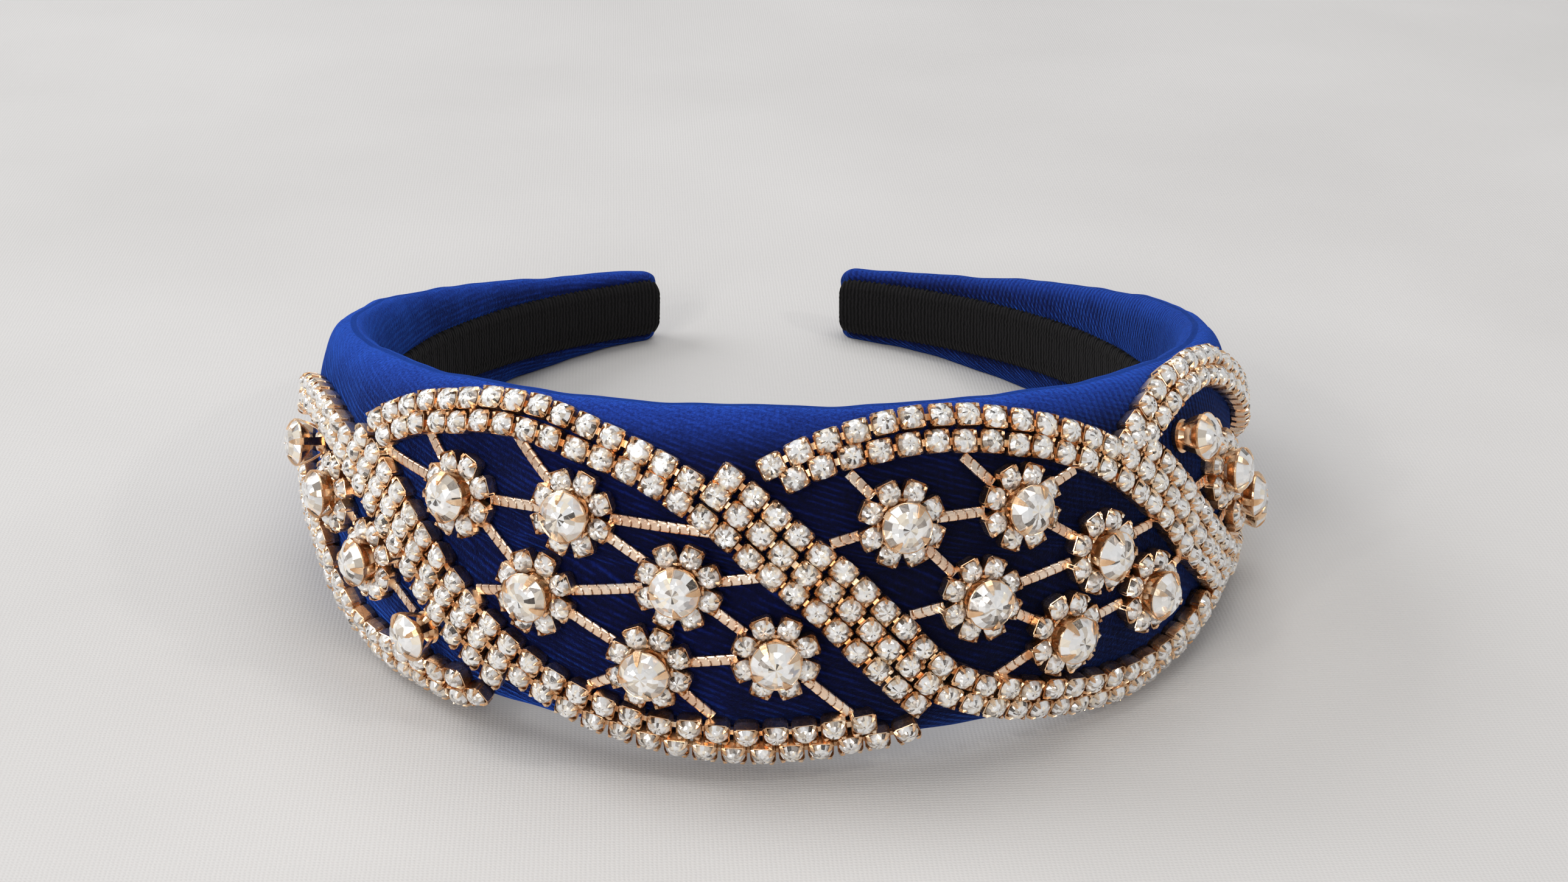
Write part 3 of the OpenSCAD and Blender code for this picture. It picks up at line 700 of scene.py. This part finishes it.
def foiled_crystal():
    """Clear glass over foil: rings of wedges round each stone's middle mirror the light in their
    own direction, under a clear polished surface, and each wedge's colour is a painted reflection,
    white, champagne, grey or dark. A wedge is the whole part of the angle times eight over pi, and
    half a wedge further round in each next ring."""
    material, add, math, set_shader = new_material("clear foiled crystal")
    x, y, which = own_numbers(add)
    angle = math("ARCTAN2", y, x)
    radius = math("SQRT", math("ADD", math("MULTIPLY", x, x), math("MULTIPLY", y, y)))
    ring = math("ADD", *(math("GREATER_THAN", radius, edge) for edge in RING_RADII))
    eighths, half_more = math("MULTIPLY", angle, 8 / np.pi), math("MULTIPLY", ring, 0.5)
    wedge = math("FLOOR", math("ADD", eighths, half_more))
    cell = add("ShaderNodeCombineXYZ", {"X": wedge, "Y": ring, "Z": which}).outputs["Vector"]
    glint = add("ShaderNodeTexWhiteNoise", {"Vector": cell}, noise_dimensions="3D").outputs
    shift = add("ShaderNodeVectorMath", {0: glint["Color"], 1: (0.5, 0.5, 0.5)},
                operation="SUBTRACT").outputs[0]
    face = add("ShaderNodeNewGeometry").outputs["Normal"]
    leaning = add("ShaderNodeVectorMath", {0: face, 1: scaled(add, shift, FACET_TILT)},
                  operation="ADD").outputs[0]
    # Each wedge's colour is a painted reflection.
    set_shader({
        "Base Color": ramp(add, glint["Value"], PAINTED_FACET_REFLECTIONS, constant=True),
        "Normal": add("ShaderNodeVectorMath", {0: leaning}, operation="NORMALIZE").outputs[0],
        "Metallic": 0.45, "Roughness": 0.1,
        "Coat Weight": 1.0, "Coat Roughness": 0.02, "Coat IOR": 1.6})
    return material


rose_gold = polished_plate("rose gold plate", ROSE_GOLDS)
crystal = foiled_crystal()
chance = np.random.default_rng(7)
OWN_NUMBERS = 900
SEWN_LEAN = 0.045


def cut_of(shape, r, count):
    """For each point of each stone: its place across the stone as a share of the radius, and a
    number of its own for each stone."""
    own = np.repeat(chance.integers(0, OWN_NUMBERS, count), len(shape))
    return np.column_stack([np.tile(shape[:, :2] / r, (count, 1)), own])


def strand_frames(cups):
    """Middles and three directions of a strand's cups, each leaned a little at random, as cups
    sewn by hand are."""
    first, last = cups
    origin, _, _, out = cloth_frame((first + last) / 2)
    e = unit(cloth_frame(last)[0] - cloth_frame(first)[0])
    lean = chance.normal(0, SEWN_LEAN, (len(out), 2))
    out = unit(out + lean[:, :1] * e + lean[:, 1:] * np.cross(out, e))
    e = unit(e - out * (e * out).sum(1, keepdims=True))
    return origin, e, np.cross(out, e), out


def add_chain(node, strands):
    """A chain's cups with their links as one piece, and its stones as another. A link lies halfway
    between two cups, along the way from one to the next, and rises along the sum of their
    directions."""
    shapes, stones, cuts = [], [], []
    for cups in strands:
        origin, e, m, out = strand_frames(cups)
        way = unit(np.diff(origin, axis=0))
        rise = out[1:] + out[:-1]
        rise = unit(rise - way * (rise * way).sum(1, keepdims=True))
        between = (origin[1:] + origin[:-1]) / 2
        shapes += [copies(small_cup, origin, e, m, out),
                   copies(chain_link, between, way, np.cross(rise, way), rise)]
        stones.append(copies(small_stone, origin, e, m, out))
        cuts.append(cut_of(small_stone[0], STONE_R, len(origin)))
    add_piece(node + "_cups", *join_shapes(shapes), rose_gold, "stones_in_cups", [node],
              smooth=False)
    add_piece(node + "_stones", *join_shapes(stones), crystal, "stones_in_cups", smooth=False,
              finish=np.concatenate(cuts))


add_chain("chain_left_end", low_strands)
add_chain("chain_left", left_strands)
add_chain("chain_middle", middle_strands)
add_chain("chain_right", right_strands)
add_chain("chain_right_end", high_strands)

# Flowers: a large round stone held high by four pointed claws on a stamped rosette, with eight
# small stones in cups round it. Four, in the end cells, have no small stones and no rosette. Each
# is soldered up and then sewn to the cloth.
FLOWERS = np.array([
    [-95.4, 9.4], [-84.4, 3.4], [-71.4, -4], [-59.6, -11.8],
    [-51.9, 9.8], [-33.8, 9.5], [-39.1, -2], [-19.3, 0.7], [-23.2, -10.6], [-6.9, -8.7],
    [9, 8.7], [25.8, 9.2], [20, -2.6], [39.3, 0.7], [33.2, -9.9], [49.4, -7.6],
    [60.2, 13], [72.8, 5], [84.4, -2.6], [95.4, -8.6]])
LONE = (1, 4, 17, 20)
CHATON_R = 3.3
STONE_SPIN = 0.2
SQUARE_BAR = [(1, -1), (1, 1), (-1, 1), (-1, -1)]
BROAD_CLAW = [(1.5, 0.5, 1.3, 0.3), (2.6, 2.4, 1.15, 0.28), (3.36, 4.3, 1.05, 0.26),
              (3.42, 4.85, 1.0, 0.26), (3.02, 5.35, 0.85, 0.26), (2.4, 5.8, 0.55, 0.22),
              (1.9, 6.08, 0.12, 0.14)]
BEZEL_PROFILE = [(1.9, 3.0), (3.16, 4.28), (3.38, 4.5), (3.38, 4.7), (3.32, 4.76), (3.2, 4.7),
                 (2.9, 4.4)]
FOOT_PROFILE = [(2.3, GAP), (2.4, 0.8), (1.7, 0.95), (1.3, 1.6)]
ROSETTE_R, ROSETTE_SWELL, ROSETTE_SIDES = 4.5, 0.7, 48
ROSETTE_PROFILE = [(0.96, GAP), (1, 0.35), (1, 0.62), (0.93, 0.78), (0.4, 0.85)]
PETAL_COUNT, PETAL_R, PETAL_SIZE = 8, 4.28, 0.96


def ring_shape(profile, sides):
    """A turned shape: a profile of radius and height carried round, closed at both ends."""
    a = np.arange(sides) * 2 * np.pi / sides
    return loft_shape([np.stack([r * np.cos(a), r * np.sin(a), z + 0 * a], -1) for r, z in profile])


def rosette():
    """The stamped plate under a flower: its radius swells at each small stone by a cosine of eight
    turns, and its rings are that outline times their shares."""
    a = np.arange(ROSETTE_SIDES) * 2 * np.pi / ROSETTE_SIDES
    r = ROSETTE_R + ROSETTE_SWELL * np.cos(PETAL_COUNT * (a - np.pi / PETAL_COUNT))
    return loft_shape([np.stack([k * r * np.cos(a), k * r * np.sin(a), z + 0 * a], -1)
                       for k, z in ROSETTE_PROFILE])


def turn_shape(shape, turn, shift=0.0):
    """A shape moved out along X and turned about the middle."""
    x, y = shape[0][:, 0] + shift, shape[0][:, 1]
    c, s = np.cos(turn), np.sin(turn)
    return np.stack([x * c - y * s, x * s + y * c, shape[0][:, 2]], -1), shape[1]


large_stone = brilliant(CHATON_R, table_r=1.75, star_r=2.55, girdle_z=4.7, star_z=5.55, table_z=6.1,
                        foot=(1.2, 2.4))
bezel = ring_shape(BEZEL_PROFILE, 32)
claws = join_shapes([claw(BROAD_CLAW, k * np.pi / 2, SQUARE_BAR) for k in range(4)])
foot = ring_shape(FOOT_PROFILE, 24)
petal_turns = (np.arange(PETAL_COUNT) + 0.5) * 2 * np.pi / PETAL_COUNT
petal_cup, petal_stone = ((shape[0] * PETAL_SIZE, shape[1]) for shape in (small_cup, small_stone))

for number, place in enumerate(FLOWERS, 1):
    spot = [a[None] for a in cloth_frame(place)]
    spin = chance.uniform(0, np.pi / 2)
    metal = [bezel, foot, turn_shape(claws, spin)]
    stones = [turn_shape(large_stone, spin + STONE_SPIN)]
    cuts = [cut_of(large_stone[0], CHATON_R, 1)]
    if number not in LONE:
        metal += [turn_shape(petal_cup, t, PETAL_R) for t in petal_turns] + [rosette()]
        stones += [turn_shape(petal_stone, t, PETAL_R) for t in petal_turns]
        cuts.append(cut_of(small_stone[0], STONE_R, PETAL_COUNT))
    add_piece(f"flower_{number}_setting", *copies(join_shapes(metal), *spot), rose_gold,
              "stones_in_cups", [f"flower_{number}"], smooth=False)
    add_piece(f"flower_{number}_stones", *copies(join_shapes(stones), *spot), crystal,
              "stones_in_cups", smooth=False, finish=np.concatenate(cuts))

# Bars: short lengths of flat snake chain between the flowers, and from the flowers to the cup
# chains. Its plates overlap like scales, and their edges are curved and slanting.
PAIRS = [(1, 2), (2, 3), (3, 4),
         (5, 6), (5, 7), (6, 8), (7, 8), (7, 9), (8, 10), (9, 10),
         (11, 12), (11, 13), (12, 14), (13, 14), (13, 15), (14, 16), (15, 16),
         (17, 18), (18, 19), (19, 20)]
RAYS = [(2, 15), (3, 5),
        (5, 135), (5, 168), (6, 137), (6, -5), (7, 189), (8, 7), (9, 205), (9, -42), (10, -42),
        (11, 135), (11, 195), (12, 137), (12, 20), (13, 189), (14, 7), (15, 205), (16, 14),
        (18, 185), (19, 195)]
BAR_FROM, BAR_FROM_LONE = 5.0, 3.0
BAR_STOP = 1.75
RAY_REACH, RAY_STEPS = 20, 281
BAR_W, BAR_H = 1.5, 0.95
BAR_TURNS = np.concatenate([np.linspace(-0.04, 1.04, 11), [1.3, 1.7]]) * np.pi
SIDE_POWER, TOP_POWER = 0.6, 0.5
WIDTH_LEAST, WIDTH_MORE = 0.92, 0.08
BAR_STEP = 0.1
PLATE_PITCH = 1.3
PLATE_SLANT, PLATE_BOW = 0.42, 0.35
PLATE_LOW, PLATE_RISE, RISE_POWER = 0.72, 0.28, 0.7
PLATE_DROP, DROP_FROM, DROP_RUN = 0.3, 0.88, 0.12
SNAKE_GOLDS = [(0.8, 0.52, 0.36), (0.95, 0.72, 0.54), (1.0, 0.86, 0.72)]
snake_gold = polished_plate("rose gold snake chain", SNAKE_GOLDS, seams=True)
all_strands = low_strands + left_strands + middle_strands + right_strands + high_strands
cup_places = np.concatenate([first for first, last in all_strands])


def way_from(number, way):
    """The middle of a flower, a way on from it as a unit, and how far from the middle a bar
    starts."""
    start = BAR_FROM_LONE if number in LONE else BAR_FROM
    return FLOWERS[number - 1], way / np.linalg.norm(way), start


def pair_bar(number, other):
    """A bar's two ends between two flowers, each its start along the way from one to the other."""
    between = FLOWERS[other - 1] - FLOWERS[number - 1]
    (a, way, before), (b, back, after) = way_from(number, between), way_from(other, -between)
    return a + before * way, b + after * back


def ray_bar(number, degrees):
    """A bar's two ends from a flower to the first point along its way that comes within BAR_STOP
    of a cup's middle."""
    turn = np.radians(degrees)
    middle, way, before = way_from(number, np.array([np.cos(turn), np.sin(turn)]))
    path = middle + np.linspace(before + 1, RAY_REACH, RAY_STEPS)[:, None] * way
    near = np.linalg.norm(path[:, None] - cup_places, axis=-1).min(1) < BAR_STOP
    return middle + before * way, path[near.argmax()]


def snake_bar(start, end):
    """One bar: a flat strip carried along the cloth, as a shape and its three numbers. Each plate
    rises along its length and drops at its edge, and the edge bows forward in the middle by a
    parabola and slants with the place across. The first number is the cosine of a whole turn over
    each plate, which is one at the plates' edges."""
    length = np.linalg.norm(end - start)
    t = np.linspace(0, 1, max(int(length / BAR_STEP), 4))[:, None]
    origin, along, up, out = cloth_frame(start + t * (end - start))
    way = (end - start) / length
    m = np.cross(out, way[0] * along + way[1] * up)
    a = BAR_TURNS[None, :]
    y, z = power(np.cos(a), SIDE_POWER), power(np.sin(a), TOP_POWER)
    phase = (t * length + PLATE_SLANT * y * BAR_W / 2 - PLATE_BOW * (1 - y ** 2)) / PLATE_PITCH % 1
    drop = PLATE_DROP * np.maximum(phase - DROP_FROM, 0) / DROP_RUN
    swell = PLATE_LOW + PLATE_RISE * phase ** RISE_POWER - drop
    y = y * BAR_W / 2 * (WIDTH_LEAST + WIDTH_MORE * swell)
    z = GAP + BAR_H / 2 + z * BAR_H / 2 * swell
    shape = loft_shape(origin[:, None] + y[..., None] * m[:, None] + z[..., None] * out[:, None])
    return shape, np.cos(2 * np.pi * phase).reshape(-1, 1) * [1, 0, 0]


bars = [snake_bar(*pair_bar(*pair)) for pair in PAIRS] + [snake_bar(*ray_bar(*ray)) for ray in RAYS]
bar_shapes, bar_numbers = zip(*bars)
add_piece("snake_chain_bars", *join_shapes(bar_shapes), snake_gold, "rose_gold", ["lattice_bars"],
          smooth=False, finish=np.concatenate(bar_numbers))

# Cloth: the pale woven cloth that the headband lies on, with a fine plain weave of warp and weft.
# It isn't part of the headband.
CLOTH_TONES = [(0.3, (0.60, 0.585, 0.575)), (0.7, (0.66, 0.645, 0.635))]
THREADS = (520, 1.5)
FLOOR_HALF, FLOOR_LEVEL = 3.0, -0.00005
cloth, add, math, set_shader = new_material("pale woven cloth")
where = add("ShaderNodeTexCoord").outputs["Object"]
weave = math("MULTIPLY", *(bands(add, where, way, *THREADS) for way in ("X", "Y")))
set_shader({
    "Base Color": ramp(add, noise(add, where, 9, 3), CLOTH_TONES), "Roughness": 0.9,
    "Specular IOR Level": 0.2, "Normal": bumped(add, weave, 0.25, 0.0002)})
mesh = bpy.data.meshes.new("cloth_floor")
corners = [(x * FLOOR_HALF, y * FLOOR_HALF, FLOOR_LEVEL)
           for x, y in ((-1, -1), (1, -1), (1, 1), (-1, 1))]
mesh.from_pydata(corners, [], [(0, 1, 2, 3)])
mesh.materials.append(cloth)
floor = bpy.data.objects.new("cloth_floor", mesh)
bpy.context.scene.collection.objects.link(floor)


# Light: soft daylight from the upper left and behind, a weak fill from the front, and small lamps
# for the stones, in a pale room.
def soft_light(name, at, aim, size, power_w, colour):
    """A square lamp at a point, turned to face another point: its z is the unit way back from
    there, its x lies level, and its y is their cross product."""
    lamp = bpy.data.objects.new(name, bpy.data.lights.new(name, "AREA"))
    lamp.data.shape, lamp.data.size = "SQUARE", size
    lamp.data.energy, lamp.data.color = power_w, colour
    z = np.array(at, float) - np.array(aim, float)
    z /= np.linalg.norm(z)
    x = np.cross((0, 0, 1), z)
    x /= np.linalg.norm(x)
    pose = np.eye(4)
    pose[:3, :3] = np.column_stack([x, np.cross(z, x), z])
    pose[:3, 3] = at
    bpy.context.scene.collection.objects.link(lamp)
    lamp.matrix_world = Matrix(pose.tolist())


soft_light("window", (-1.2, 0.5, 1.05), (0, 0, 0), 0.9, 11.5, (0.97, 0.985, 1))
soft_light("ceiling", (0.15, 0.25, 1.25), (0, 0, 0), 0.9, 5, (1, 0.99, 0.97))
soft_light("front_fill", (-0.5, -0.95, 0.5), (0, 0, 0), 0.3, 3.2, (1, 0.97, 0.93))
soft_light("sparkle_left", (-0.45, -0.55, 0.5), (0, -0.05, 0), 0.05, 0.5, (1, 0.97, 0.92))
soft_light("sparkle_right", (0.5, -0.35, 0.55), (0, -0.05, 0), 0.05, 0.5, (1, 0.97, 0.92))
soft_light("sparkle_middle", (-0.05, -0.7, 0.25), (0, -0.05, 0), 0.05, 0.4, (1, 0.98, 0.95))

world = bpy.data.worlds.new("room")
world.use_nodes = True
world.node_tree.nodes["Background"].inputs["Color"].default_value = (0.8, 0.81, 0.83, 1)
world.node_tree.nodes["Background"].inputs["Strength"].default_value = 0.55
bpy.context.scene.world = world
bpy.context.scene.view_settings.view_transform = "Standard"
